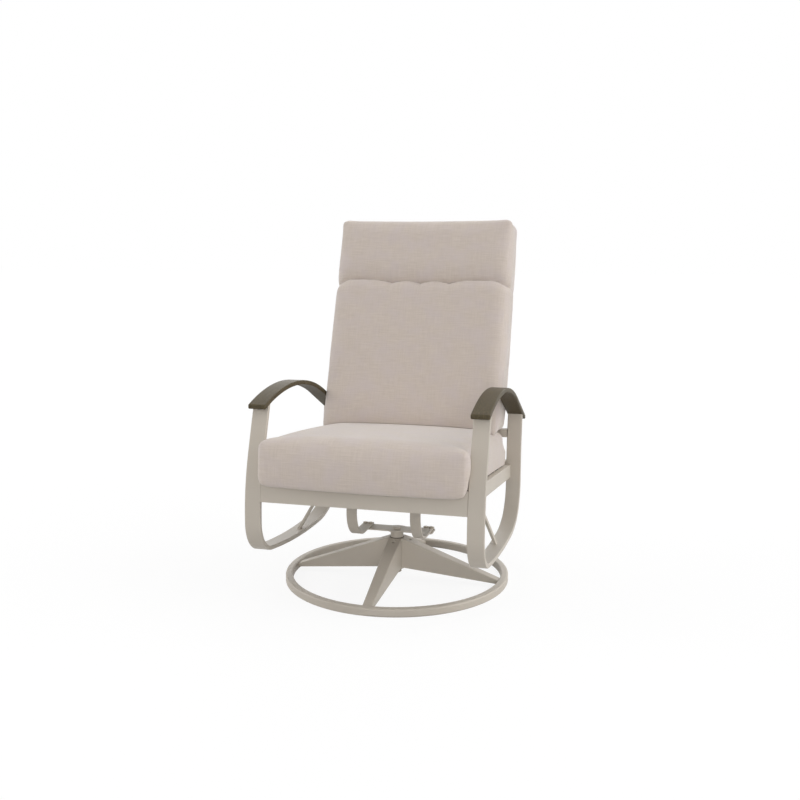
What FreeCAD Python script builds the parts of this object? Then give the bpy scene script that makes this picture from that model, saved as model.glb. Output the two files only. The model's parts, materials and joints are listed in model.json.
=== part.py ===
import FreeCAD, Part
import math
import os

# Outdoor swivel rocking chair with loose cushions.
# Millimetres. The origin is on the floor under the swivel post, +Z is up, the chair faces -Y
# and +X is on its left hand side, which is the viewer's right from the front.

V = FreeCAD.Vector

# Longer than any piece: how far the tools that cut them reach
reach = 1000.0

# Heights that differ by less than this are one height
same_place = 0.001

# Floor ring: a rolled tube with drain holes underneath
ring_outer_r = 330.0
ring_width = 22.0
ring_height = 24.0
ring_corner_r = 5.0
ring_wall = 2.0
drain_hole_r = 3.0
drain_hole_count = 4

# Legs: folded and tapered channels between the hub and the ring
leg_hub_width = 39.5
leg_ring_width = 28.0
leg_sheet = 3.0
leg_hub_top = 123.0
leg_ring_top = 20.0
leg_hub_bottom = 36.0
leg_ring_bottom = 9.0
leg_hole_r = 5.0
leg_hole_from_hub = 12.0

# Hub, bushes and spindle
hub_outer_r = 28.5
hub_bore_r = 20.0
hub_bottom = 34.0
hub_top = 124.0
bush_length = 26.0
shaft_r = 14.0
running_clearance = 0.05
fit_clearance = 0.1
thrust_washer_r = 21.0
thrust_washer_thick = 1.5
thrust_gap = 0.1
collar_r = 19.0
spindle_thread_r = 8.0
spindle_thread_length = 18.0
keeper_gap = 0.5
keeper_washer_r = 24.0
keeper_washer_thick = 2.5
keeper_nut_flats = 24.0
keeper_nut_height = 13.0
pivot_bolt_r = 6.0
pivot_bolt_depth = 42.0
pivot_head_r = 12.0
pivot_head_height = 5.5
pivot_head_edge_r = 1.2
hole_end_gap = 2.0

# Cross bar on the spindle
bar_top = 150.0
bar_thick = 4.0
bar_half_length = 112.0
bar_width = 50.0
bar_boss_r = 32.0
bar_corner_r = 8.0

# C-shaped leaf springs
spring_x = 93.0
spring_width = 30.0
spring_thick = 6.0
spring_bend_r = 79.5
spring_front_y = -150.0
spring_rear_y = 25.0
spring_edge_r = 1.5
bolt_y = 10.0
bolt_pitch = 16.0
bolt_r = 4.0
bolt_head_r = 6.5
bolt_head_height = 3.0
nut_flats = 13.0
nut_height = 6.5
bolt_stickout = 1.5

# Side frames: one bent flat tube each, open at the top, its lowest outside point given
side_inner_x = 281.0
side_bar_width = 45.0
side_bar_thick = 12.0
side_bar_wall = 2.5
side_edge_r = 2.2
low_point_y = 60.0
low_point_z = 119.5
front_run_r = 2150.0
front_run_turn = 9.1
front_bend_r = 95.0
front_sweep_r = 575.0
front_lean = 19.5
front_top_run = 175.0
rear_run = 40.0
rear_toe_r = 300.0
rear_toe_turn = 20.0
rear_bend_r = 118.0
rear_straight = 51.0
rear_sweep_r = 750.0
rear_lean = 16.0

# Arms: arched slabs on top of the side frames, their highest point given
arm_width = 51.0
arm_thick = 13.0
arm_edge_r = 3.5
arm_peak_y = -100.0
arm_peak_z = 591.0
arm_front_r = 700.0
arm_rear_r = 620.0
arm_rear_turn = 25.5
arm_front_end = -314.0
arm_rear_end = 337.0
arm_overrun = 12.0
stud_r = 2.5
stud_in_arm = 9.0
plug_length = 30.0
plug_clearance = 0.2

# Seat frame
tube_wall = 2.0
tube_corner_r = 3.0
seat_slope = 6.1
rail_top_at_axis = 330.0
side_rail_lap = 14.0
side_rail_width = 25.0
side_rail_height = 42.0
front_rail_bottom = 302.0
front_rail_height = 64.0
rear_rail_top = 312.0
rear_rail_size = 25.0
mount_rail_front = -5.0
mount_rail_depth = 50.0
mount_rail_height = 15.0

# Braces from the side frames up to the spring mounting rail
brace_width = 16.0
brace_thick = 8.0
brace_foot_y = -26.0
brace_head_inset = 63.0
brace_head_y = 34.0
brace_edge_r = 1.5

# Webbing straps across the seat and the back
strap_width = 50.0
strap_thick = 2.0
strap_lap = 8.0
seat_strap_pitch = 80.0
seat_strap_first = -290.0
seat_strap_last = 190.0
back_strap_pitch = 68.0
back_strap_first = 62.0
back_strap_last = 538.0
rivet_r = 1.6
rivet_head_r = 3.2
rivet_head_height = 1.0
rivet_length = 7.0
rivet_inset = 4.5

# Back frame
back_tube = 25.0
back_stub_length = 21.0
back_lean = 18.3
back_bend_r = 100.0
back_bend_z = 400.0
back_upright_length = 588.0
stub_bottom = 387.0

# Cushions
cushion_clearance = 0.4
seat_cushion_front = -381.0
seat_cushion_rear_gap = 3.0
cushion_side_gap = 1.0
seat_cushion_edge = 109.0
seat_cushion_crown = 10.5
seat_edge_width = 70.0
seat_edge_height = 60.0
seat_foot_width = 24.0
seat_foot_height = 38.0
seat_lip_drop = 14.0
seat_lip_thick = 22.0
seat_lip_edge_r = 8.0
cushion_corner_r = 28.0
corner_r_least = 12.0
cushion_bulge = 3.0
cushion_draw_in = 3.0
corner_tightening = 0.25
seam_roundness = 0.6
seam_lap = 9.0
back_cushion_seam = 822.0
back_cushion_top = 1017.0
back_cushion_edge_low = 149.0
back_cushion_taper = 1.7
back_cushion_crown = 3.0
back_edge_width = 42.0
back_edge_height = 34.0
back_foot_width = 14.0
back_foot_height = 20.0
tuft_pitch = 93.0
tuft_count = 3
tuft_ball_r = 12.0
tuft_depth = 18.0


def rad(degrees):
    return math.radians(degrees)


def box(x0, x1, y0, y1, z0, z1):
    return Part.makeBox(x1 - x0, y1 - y0, z1 - z0, V(x0, y0, z0))


def cylinder(r, z0, z1, x=0.0, y=0.0):
    return Part.makeCylinder(r, z1 - z0, V(x, y, z0))


def hexagon(flats, z0, z1, x=0.0, y=0.0):
    corners = []
    for k in range(7):
        angle = rad(60 * k)
        corner = flats / 2 / math.cos(rad(30))
        corners.append(V(x + corner * math.cos(angle), y + corner * math.sin(angle), z0))
    return Part.Face(Part.makePolygon(corners)).extrude(V(0, 0, z1 - z0))


def mirrored(shape):
    return shape.mirror(V(0, 0, 0), V(1, 0, 0))


def save(name, shape):
    for solid in shape.Solids:
        if not solid.isValid():
            print("not valid:", name)
    print("%-24s solids %2d  volume %10.0f" % (name, len(shape.Solids), shape.Volume))
    shape.exportStep("parts/" + name + ".step")


def group(shapes):
    return Part.makeCompound(shapes)


# Paths in the YZ plane: a step is ("line", length) or ("arc", radius, turn to the left)

def walk(start, heading, steps, side=0.0):
    """The edges of a path moved `side` to its left, and where the path itself ends."""
    y, z = start
    a = rad(heading)

    def beside(cy, cz, angle):
        return V(0, cy - side * math.sin(angle), cz + side * math.cos(angle))

    edges = []
    for step in steps:
        first = beside(y, z, a)
        if step[0] == "line":
            y += step[1] * math.cos(a)
            z += step[1] * math.sin(a)
            edges.append(Part.makeLine(first, beside(y, z, a)))
            continue
        radius, turn = step[1], rad(step[2])
        to_centre = math.copysign(radius, turn)
        cy = y - to_centre * math.sin(a)
        cz = z + to_centre * math.cos(a)
        places = []
        for angle in (a + turn / 2, a + turn):
            y = cy + to_centre * math.sin(angle)
            z = cz - to_centre * math.cos(angle)
            places.append(beside(y, z, angle))
        edges.append(Part.Arc(first, places[0], places[1]).toShape())
        a += turn
    return edges, (y, z), math.degrees(a)


def turned_round(start, heading, steps):
    """The same path walked from its far end."""
    _, end, end_heading = walk(start, heading, steps)
    back = []
    for step in reversed(steps):
        if step[0] == "line":
            back.append(step)
        else:
            back.append(("arc", step[1], -step[2]))
    return end, end_heading + 180, back


def first_point(edges):
    return edges[0].valueAt(edges[0].FirstParameter)


def last_point(edges):
    return edges[-1].valueAt(edges[-1].LastParameter)


def band(start, heading, steps, near, far, x0, x1):
    """A flat bar bent along a path, between two offsets to its left."""
    low = walk(start, heading, steps, near)[0]
    high = walk(start, heading, steps, far)[0]
    caps = [Part.makeLine(first_point(low), first_point(high)),
            Part.makeLine(last_point(low), last_point(high))]
    wire = Part.Wire(Part.__sortEdges__(low + high + caps))
    solid = Part.Face(wire).extrude(V(x1 - x0, 0, 0))
    solid.translate(V(x0, 0, 0))
    return solid


def region(start, heading, steps, side, corners, x0, x1):
    """The space between an offset path and the corner points that close it."""
    edges = walk(start, heading, steps, side)[0]
    points = [last_point(edges)] + [V(0, y, z) for y, z in corners] + [first_point(edges)]
    lines = []
    for p, q in zip(points, points[1:]):
        if (q - p).Length > 1e-6:
            lines.append(Part.makeLine(p, q))
    wire = Part.Wire(Part.__sortEdges__(edges + lines))
    solid = Part.Face(wire).extrude(V(x1 - x0, 0, 0))
    solid.translate(V(x0, 0, 0))
    return solid


def round_long_edges(solid, radius, x0, x1, shortest):
    """Rounds the edges that lie in the two end planes of an extruded bar."""
    chosen = []
    for edge in solid.Edges:
        b = edge.BoundBox
        in_plane = b.XMax - b.XMin < 1e-6 and min(abs(b.XMin - x0), abs(b.XMin - x1)) < 1e-6
        if in_plane and edge.Length > shortest:
            chosen.append(edge)
    return solid.makeFillet(radius, chosen)


def rounded_bar(length_x, size_y, size_z, corner_r):
    """A bar along X, centred on X, from the corner at y = 0, z = 0."""
    bar = box(-length_x / 2, length_x / 2, 0, size_y, 0, size_z)
    edges = [e for e in bar.Edges if e.BoundBox.XLength > length_x / 2]
    return bar.makeFillet(corner_r, edges)


def tube_along_x(length_x, size_y, size_z, wall):
    outer = rounded_bar(length_x, size_y, size_z, tube_corner_r)
    inner = rounded_bar(length_x + 2, size_y - 2 * wall, size_z - 2 * wall, tube_corner_r - wall)
    inner.translate(V(0, wall, wall))
    return outer.cut(inner)


# Base

def base_ring():
    inner_r = ring_outer_r - ring_width

    def section(gap):
        width, height = ring_width - 2 * gap, ring_height - 2 * gap
        wire = outline(-width / 2, width / 2, -height / 2, height / 2, ring_corner_r - gap, (0, 0, 0, 0), 0)
        wire.rotate(V(0, 0, 0), V(1, 0, 0), 90)
        wire.translate(V((inner_r + ring_outer_r) / 2, 0, ring_height / 2))
        return Part.Face(wire).revolve(V(0, 0, 0), V(0, 0, 1), 360)

    ring = section(0).cut(section(ring_wall))
    middle_r = (inner_r + ring_outer_r) / 2
    for k in range(drain_hole_count):
        angle = rad(45 + 360 * k / drain_hole_count)
        hole = cylinder(drain_hole_r, -1, ring_wall * 2, middle_r * math.cos(angle), middle_r * math.sin(angle))
        ring = ring.cut(hole)
    return ring


def leg():
    """The leg that runs along +X: a channel that is open underneath."""
    r0, r1 = 0.0, ring_outer_r
    ring_inner_r = ring_outer_r - ring_width
    slope_top = (leg_ring_top - leg_hub_top) / (ring_inner_r - hub_outer_r)
    slope_bottom = (leg_ring_bottom - leg_hub_bottom) / (ring_inner_r - hub_outer_r)
    slope_width = (leg_ring_width - leg_hub_width) / (ring_inner_r - hub_outer_r)

    def at(value, slope, r):
        return value + slope * (r - hub_outer_r)

    def prism(side_gap, top_gap, bottom_drop):
        top = leg_hub_top - top_gap
        bottom = leg_hub_bottom - bottom_drop
        profile = [(r0, at(bottom, slope_bottom, r0)), (r1, at(bottom, slope_bottom, r1)),
                   (r1, at(top, slope_top, r1)), (r0, at(top, slope_top, r0))]
        points = [V(r, 0, z) for r, z in profile + profile[:1]]
        side = Part.Face(Part.makePolygon(points)).extrude(V(0, leg_hub_width * 2, 0))
        side.translate(V(0, -leg_hub_width, 0))
        half0 = at(leg_hub_width, slope_width, r0) / 2 - side_gap
        half1 = at(leg_hub_width, slope_width, r1) / 2 - side_gap
        plan = [(r0, -half0), (r1, -half1), (r1, half1), (r0, half0), (r0, -half0)]
        flat = Part.Face(Part.makePolygon([V(x, y, -reach) for x, y in plan])).extrude(V(0, 0, 2 * reach))
        return side.common(flat)

    outer = prism(0, 0, 0)
    middle_top = (leg_hub_top + leg_ring_top) / 2
    long_top = [e for e in outer.Edges if e.Length > ring_inner_r - hub_outer_r
                and e.CenterOfMass.z > middle_top - leg_sheet]
    outer = outer.makeFillet(leg_sheet, long_top)
    channel = outer.cut(prism(leg_sheet, leg_sheet, leg_hub_top))
    channel = channel.cut(cylinder(hub_outer_r, -reach, reach))
    channel = channel.common(cylinder(ring_inner_r, -reach, reach))
    return channel.cut(cylinder(leg_hole_r, leg_hub_bottom, reach, hub_outer_r + leg_hole_from_hub))


def hub_tube():
    return cylinder(hub_outer_r, hub_bottom, hub_top).cut(cylinder(hub_bore_r, 0, reach))


def bush(z0):
    sleeve = cylinder(hub_bore_r, z0, z0 + bush_length)
    return sleeve.cut(cylinder(shaft_r + running_clearance, z0 - 1, z0 + bush_length + 1))


def thrust_washer():
    disc = cylinder(thrust_washer_r, hub_top, hub_top + thrust_washer_thick)
    return disc.cut(cylinder(shaft_r + fit_clearance, 0, reach))


def build_base():
    save("base_ring", base_ring())
    arm = leg()
    for name, angle in (("right", 0), ("back", 90), ("left", 180), ("front", 270)):
        turned = arm.copy()
        turned.rotate(V(0, 0, 0), V(0, 0, 1), angle)
        save("base_leg_" + name, turned)
    save("hub_tube", hub_tube())
    save("upper_bush", bush(hub_top - bush_length))
    save("lower_bush", bush(hub_bottom))
    save("thrust_washer", thrust_washer())


# Swivel: what turns on the hub

bar_bottom = bar_top - bar_thick
spring_top = bar_top + 2 * spring_bend_r


def spindle():
    collar_z = hub_top + thrust_washer_thick + thrust_gap
    shaft_z = hub_bottom - keeper_gap
    body = cylinder(collar_r, collar_z, bar_bottom)
    body = body.fuse(cylinder(shaft_r, shaft_z, collar_z))
    body = body.fuse(cylinder(spindle_thread_r, shaft_z - spindle_thread_length, shaft_z))
    body = body.removeSplitter()
    return body.cut(cylinder(pivot_bolt_r, bar_top - pivot_bolt_depth - hole_end_gap, bar_top))


def keeper_washer():
    top = hub_bottom - keeper_gap
    disc = cylinder(keeper_washer_r, top - keeper_washer_thick, top)
    return disc.cut(cylinder(spindle_thread_r, 0, reach))


def keeper_nut():
    top = hub_bottom - keeper_gap - keeper_washer_thick
    nut = hexagon(keeper_nut_flats, top - keeper_nut_height, top)
    return nut.cut(cylinder(spindle_thread_r, 0, reach))


def pivot_bolt():
    head = cylinder(pivot_head_r, bar_top, bar_top + pivot_head_height)
    rim = [e for e in head.Edges if e.CenterOfMass.z > bar_top + 1 and e.Closed]
    head = head.makeFillet(pivot_head_edge_r, rim)
    return head.fuse(cylinder(pivot_bolt_r, bar_top - pivot_bolt_depth, bar_top))


def bolt_places():
    for side in (-1, 1):
        for step in (-0.5, 0.5):
            yield side * spring_x + step * bolt_pitch


def cross_bar():
    bar = box(-bar_half_length, bar_half_length, -bar_width / 2, bar_width / 2, bar_bottom, bar_top)
    bar = bar.makeFillet(bar_corner_r, [e for e in bar.Edges if e.BoundBox.ZLength > 1])
    bar = bar.fuse(cylinder(bar_boss_r, bar_bottom, bar_top)).removeSplitter()
    bar = bar.cut(cylinder(pivot_bolt_r + fit_clearance, 0, reach))
    for x in bolt_places():
        bar = bar.cut(cylinder(bolt_r + fit_clearance, 0, reach, x, bolt_y))
    return bar


def leaf_spring():
    """The spring on the +X side."""
    run = spring_rear_y - spring_front_y - spring_bend_r
    steps = [("line", run), ("arc", spring_bend_r, -180), ("line", run)]
    x0, x1 = spring_x - spring_width / 2, spring_x + spring_width / 2
    leaf = band((spring_rear_y, bar_top), 180, steps, -spring_thick, 0, x0, x1)
    leaf = round_long_edges(leaf, spring_edge_r, x0, x1, spring_thick + 1)
    for step in (-0.5, 0.5):
        leaf = leaf.cut(cylinder(bolt_r + fit_clearance, 0, reach, spring_x + step * bolt_pitch, bolt_y))
    return leaf


def bolt_up(x, head_z, tip_z):
    """A bolt with its head on top when head_z is above tip_z, and below otherwise."""
    way = 1 if head_z > tip_z else -1
    shank = cylinder(bolt_r, min(head_z, tip_z), max(head_z, tip_z), x, bolt_y)
    head_end = head_z + way * bolt_head_height
    head = cylinder(bolt_head_r, min(head_z, head_end), max(head_z, head_end), x, bolt_y)
    return shank.fuse(head)


def nut(x, z0):
    return hexagon(nut_flats, z0, z0 + nut_height, x, bolt_y).cut(cylinder(bolt_r, 0, reach, x, bolt_y))


def build_swivel():
    save("spindle", spindle())
    save("keeper_washer", keeper_washer())
    save("keeper_nut", keeper_nut())
    save("pivot_bolt", pivot_bolt())
    save("cross_bar", cross_bar())
    leaf = leaf_spring()
    save("left_leaf_spring", mirrored(leaf))
    save("right_leaf_spring", leaf)
    leaf_top = bar_top + spring_thick
    tip = bar_bottom - nut_height - bolt_stickout
    save("lower_spring_bolts", group([bolt_up(x, leaf_top, tip) for x in bolt_places()]))
    save("lower_spring_nuts", group([nut(x, bar_bottom - nut_height) for x in bolt_places()]))


# Side frames and arms

front_steps = [("arc", front_run_r, -front_run_turn),
               ("arc", front_bend_r, -(90 - front_run_turn)),
               ("arc", front_sweep_r, -front_lean),
               ("line", front_top_run)]
rear_steps = [("line", rear_run),
              ("arc", rear_toe_r, rear_toe_turn),
              ("arc", rear_bend_r, 90 - rear_toe_turn),
              ("line", rear_straight),
              ("arc", rear_sweep_r, -rear_lean)]
low_point = (low_point_y, low_point_z)
side_start, side_heading, side_front = turned_round(low_point, 180, front_steps)
side_steps = side_front + rear_steps
side_outer_x = side_inner_x + side_bar_width
side_middle_x = side_inner_x + side_bar_width / 2
side_rail_inner_x = side_inner_x + side_rail_lap - side_rail_width
rear_straight_start = walk(low_point, 0, rear_steps[:3])[1]
rear_face_y = rear_straight_start[0] - side_bar_thick

arm_peak = (arm_peak_y, arm_peak_z)
arm_inner_x = side_middle_x - arm_width / 2
arm_front_turn = math.degrees(math.asin((arm_peak_y - arm_front_end + arm_overrun) / arm_front_r))
arm_rear_run = arm_rear_end + arm_overrun - arm_peak_y - arm_rear_r * math.sin(rad(arm_rear_turn))
arm_rear_steps = [("arc", arm_rear_r, -arm_rear_turn),
                  ("line", arm_rear_run / math.cos(rad(arm_rear_turn)))]
arm_start, arm_heading, arm_front = turned_round(arm_peak, 180, [("arc", arm_front_r, arm_front_turn)])
arm_steps = arm_front + arm_rear_steps


def side_band(near, far, x_gap):
    return band(side_start, side_heading, side_steps, near, far,
                side_inner_x + x_gap, side_outer_x - x_gap)


def above_arm_underside(drop=0.0):
    """Everything over the underside of the arms, lowered by `drop`."""
    far_y = arm_rear_end + arm_overrun
    near_y = arm_front_end - arm_overrun
    space = region(arm_start, arm_heading, arm_steps, -arm_thick,
                   [(far_y + reach, reach), (near_y - reach, reach)], -reach, reach)
    space.translate(V(0, 0, -drop))
    return space


def side_frame():
    """The side frame on the +X side."""
    bar = side_band(0, side_bar_thick, 0)
    bar = round_long_edges(bar, side_edge_r, side_inner_x, side_outer_x, side_bar_thick + 1)
    bar = bar.cut(side_band(side_bar_wall, side_bar_thick - side_bar_wall, side_bar_wall))
    return bar.cut(above_arm_underside())


def upright_tops():
    """Where the middle of each upright meets the arm, and its way up."""
    middle = walk(side_start, side_heading, side_steps, side_bar_thick / 2)[0]
    space = above_arm_underside()
    tops = []
    for edge in (middle[0], middle[-1]):
        edge.translate(V(side_middle_x, 0, 0))
        below = max(edge.cut(space).Edges, key=lambda e: e.Length)
        ends = [(below.valueAt(t), below.tangentAt(t)) for t in (below.FirstParameter, below.LastParameter)]
        point, way = max(ends, key=lambda end: end[0].z)
        if way.z < 0:
            way = way * -1
        tops.append((point, way.normalize()))
    return tops


def studs(radius, up, down):
    shapes = []
    for point, way in upright_tops():
        shapes.append(Part.makeCylinder(radius, up + down, point - way * down, way))
    return shapes


def arm():
    """The arm on the +X side."""
    slab = band(arm_start, arm_heading, arm_steps, -arm_thick, 0, arm_inner_x, arm_inner_x + arm_width)
    slab = slab.common(box(0, reach, arm_front_end, arm_rear_end, 0, reach))
    slab = slab.makeFillet(arm_edge_r, slab.Edges)
    for hole in studs(stud_r + fit_clearance, stud_in_arm + hole_end_gap / 2, arm_thick):
        slab = slab.cut(hole)
    return slab


def arm_plugs():
    gap = side_bar_wall + plug_clearance
    block = side_band(gap, side_bar_thick - gap, gap)
    block = block.common(above_arm_underside(plug_length)).cut(above_arm_underside())
    for hole in studs(stud_r, plug_length, plug_length):
        block = block.cut(hole)
    return [s for s in block.Solids]


def brace():
    """The brace on the +X side, cut to the side frame and to the mounting rail."""
    envelope = side_band(0, side_bar_thick, 0)
    foot = V(side_middle_x, brace_foot_y, low_point_z + side_bar_thick / 2)
    head = V(side_rail_inner_x - brace_head_inset, brace_head_y, spring_top)
    way = (head - foot).normalize()
    length = (head - foot).Length + brace_width * 2
    bar = box(-brace_thick / 2, brace_thick / 2, -brace_width / 2, brace_width / 2, 0, length)
    bar = bar.makeFillet(brace_edge_r, [e for e in bar.Edges if e.Length > length - 1])
    across = V(0, 1, 0).cross(way).normalize()
    along = way.cross(across)
    matrix = FreeCAD.Matrix(across.x, along.x, way.x, foot.x,
                            across.y, along.y, way.y, foot.y,
                            across.z, along.z, way.z, foot.z,
                            0, 0, 0, 1)
    bar.Placement = FreeCAD.Placement(matrix)
    bar = bar.common(box(0, reach, -reach, reach, 0, spring_top))
    pieces = bar.cut(envelope).Solids
    return max(pieces, key=lambda s: s.Volume)


def build_sides():
    frame = side_frame()
    save("right_side_frame", frame)
    save("left_side_frame", mirrored(frame))
    slab = arm()
    save("right_arm", slab)
    save("left_arm", mirrored(slab))
    plugs = arm_plugs()
    save("arm_end_plugs", group(plugs + [mirrored(p) for p in plugs]))
    pins = studs(stud_r, stud_in_arm, plug_length - hole_end_gap)
    save("arm_studs", group(pins + [mirrored(p) for p in pins]))
    bar = brace()
    save("right_brace", bar)
    save("left_brace", mirrored(bar))


# Seat frame. Its sloping plane lies on the side rails: y runs down it to the rear, z stands on it.

seat_plane = FreeCAD.Placement(V(0, 0, rail_top_at_axis), FreeCAD.Rotation(V(1, 0, 0), -seat_slope))


def placed(shape, placement):
    copy = shape.copy()
    copy.Placement = placement.multiply(copy.Placement)
    return copy


def strap_places(first, last, pitch):
    """As many straps as the pitch gives, spread about the middle of their run."""
    count = int((last - first) / pitch + 0.01) + 1
    start = (first + last - (count - 1) * pitch) / 2
    return [start + k * pitch for k in range(count)]


def seat_strap_places():
    return strap_places(seat_strap_first, seat_strap_last, seat_strap_pitch)


def seat_rivet_places():
    x = side_rail_inner_x + rivet_inset
    return [(side * x, y) for y in seat_strap_places() for side in (-1, 1)]


def rivets(places, clearance):
    """Flush rivets standing in a strap that lies on z = 0."""
    shapes = []
    for x, y in places:
        head = cylinder(rivet_head_r + clearance, strap_thick - rivet_head_height - clearance,
                        strap_thick + clearance, x, y)
        shank = cylinder(rivet_r + clearance, strap_thick - rivet_length,
                         strap_thick - rivet_head_height, x, y)
        shapes.append(head.fuse(shank))
    return shapes


def cut_all(shape, tools):
    return shape.cut(group(tools)) if tools else shape


def inside_of_side_frame():
    return region(side_start, side_heading, side_steps, side_bar_thick, [], -reach, reach)


def side_rail():
    """The seat rail on the +X side, cut to the side frame and to the rear rail."""
    outer = rounded_bar(reach, side_rail_width, side_rail_height, tube_corner_r)
    inner = rounded_bar(2 * reach, side_rail_width - 2 * tube_wall, side_rail_height - 2 * tube_wall,
                        tube_corner_r - tube_wall)
    inner.translate(V(0, tube_wall, tube_wall))
    tube = outer.cut(inner)
    tube.rotate(V(0, 0, 0), V(0, 0, 1), -90)
    tube.translate(V(side_rail_inner_x, 0, -side_rail_height))
    tube = placed(tube, seat_plane)
    tube = tube.common(inside_of_side_frame()).common(box(0, reach, -reach, rear_face_y, 0, reach))
    holes = [placed(s, seat_plane) for s in rivets(seat_rivet_places(), fit_clearance)]
    return cut_all(tube, holes)


def front_rail():
    """Bent to the same curve as the uprights, flush with them front and back."""
    top = front_rail_bottom + front_rail_height

    def slab(gap, x_half):
        bar = band(side_start, side_heading, side_steps, gap, side_bar_thick - gap, -x_half, x_half)
        return bar.common(box(-x_half, x_half, -reach, 0, front_rail_bottom + gap, top - gap))

    bar = slab(0, side_inner_x)
    return bar.cut(slab(side_bar_wall, side_inner_x + 1))


def rear_rail():
    rail = tube_along_x(2 * side_inner_x, rear_rail_size, rear_rail_size, tube_wall)
    rail.translate(V(0, rear_face_y, rear_rail_top - rear_rail_size))
    return rail


def spring_mount_rail():
    rail = tube_along_x(2 * side_rail_inner_x, mount_rail_depth, mount_rail_height, tube_wall)
    rail.translate(V(0, mount_rail_front, spring_top))
    holes = [cylinder(bolt_r + fit_clearance, spring_top - 1, spring_top + tube_wall + 1, x, bolt_y)
             for x in bolt_places()]
    return cut_all(rail, holes)


def seat_straps():
    holes = rivets(seat_rivet_places(), fit_clearance)
    half = side_rail_inner_x + strap_lap
    straps = []
    for y in seat_strap_places():
        strap = box(-half, half, y - strap_width / 2, y + strap_width / 2, 0, strap_thick)
        near = [h for h in holes if abs(h.BoundBox.Center.y - y) < strap_width / 2]
        straps.append(placed(cut_all(strap, near), seat_plane))
    return straps


def build_seat_frame():
    rail = side_rail()
    save("right_seat_rail", rail)
    save("left_seat_rail", mirrored(rail))
    save("front_seat_rail", front_rail())
    save("rear_seat_rail", rear_rail())
    save("spring_mount_rail", spring_mount_rail())
    leaf_under = spring_top - spring_thick
    nut_z = spring_top + tube_wall
    tip = nut_z + nut_height + bolt_stickout
    save("upper_spring_bolts", group([bolt_up(x, leaf_under, tip) for x in bolt_places()]))
    save("upper_spring_nuts", group([nut(x, nut_z) for x in bolt_places()]))
    save("seat_straps", group(seat_straps()))
    save("seat_strap_rivets", group([placed(s, seat_plane) for s in rivets(seat_rivet_places(), 0)]))


# Back frame. Its leaning plane is the front of the uprights: y runs up it, z points forward.

back_middle_y = rear_face_y + back_tube / 2
back_upright_x = side_inner_x - back_stub_length - back_tube / 2
back_start = (back_middle_y, rear_rail_top)
back_rise = back_bend_r * math.tan(rad(back_lean) / 2)
back_steps = [("line", back_bend_z - back_rise - rear_rail_top),
              ("arc", back_bend_r, -back_lean),
              ("line", back_upright_length)]
back_top = walk(back_start, 90, back_steps)[1]
back_up = V(0, math.sin(rad(back_lean)), math.cos(rad(back_lean)))
back_out = V(0, -math.cos(rad(back_lean)), math.sin(rad(back_lean)))
back_origin = V(0, back_middle_y, back_bend_z) + back_out * (back_tube / 2)
back_plane = FreeCAD.Placement(FreeCAD.Matrix(
    1, 0, 0, back_origin.x,
    0, back_up.y, back_out.y, back_origin.y,
    0, back_up.z, back_out.z, back_origin.z,
    0, 0, 0, 1))


def back_strap_places():
    return strap_places(back_strap_first, back_strap_last, back_strap_pitch)


def back_rivet_places():
    return [(side * back_upright_x, y) for y in back_strap_places() for side in (-1, 1)]


def back_upright():
    """The upright on the +X side."""
    x0, x1 = back_upright_x - back_tube / 2, back_upright_x + back_tube / 2
    half = back_tube / 2
    outer = band(back_start, 90, back_steps, -half, half, x0, x1)
    outer = round_long_edges(outer, tube_corner_r - 1, x0, x1, back_tube + 1)
    inner = band(back_start, 90, back_steps, tube_wall - half, half - tube_wall,
                 x0 + tube_wall, x1 - tube_wall)
    holes = [placed(s, back_plane) for s in rivets(back_rivet_places(), fit_clearance)]
    return cut_all(outer.cut(inner), holes)


def back_top_rail():
    length = 2 * back_upright_x + back_tube
    rail = tube_along_x(length, back_tube, back_tube, tube_wall)
    rail.translate(V(0, -back_tube / 2, 0))
    rail.rotate(V(0, 0, 0), V(1, 0, 0), -back_lean)
    rail.translate(V(0, back_top[0], back_top[1]))
    return rail


def back_stub():
    """The short tube that ties the back upright to the side frame on the +X side."""
    stub = tube_along_x(back_stub_length, back_tube, back_tube, tube_wall)
    stub.translate(V(side_inner_x - back_stub_length / 2, rear_face_y, stub_bottom))
    return stub


def back_straps():
    holes = rivets(back_rivet_places(), fit_clearance)
    half = back_upright_x + strap_lap
    straps = []
    for y in back_strap_places():
        strap = box(-half, half, y - strap_width / 2, y + strap_width / 2, 0, strap_thick)
        near = [h for h in holes if abs(h.BoundBox.Center.y - y) < strap_width / 2]
        straps.append(placed(cut_all(strap, near), back_plane))
    return straps


def build_back_frame():
    upright = back_upright()
    save("right_back_upright", upright)
    save("left_back_upright", mirrored(upright))
    save("back_top_rail", back_top_rail())
    stub = back_stub()
    save("right_back_stub", stub)
    save("left_back_stub", mirrored(stub))
    save("back_straps", group(back_straps()))
    save("back_strap_rivets", group([placed(s, back_plane) for s in rivets(back_rivet_places(), 0)]))


# Cushions: lofts through rounded outlines, one above the other

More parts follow.
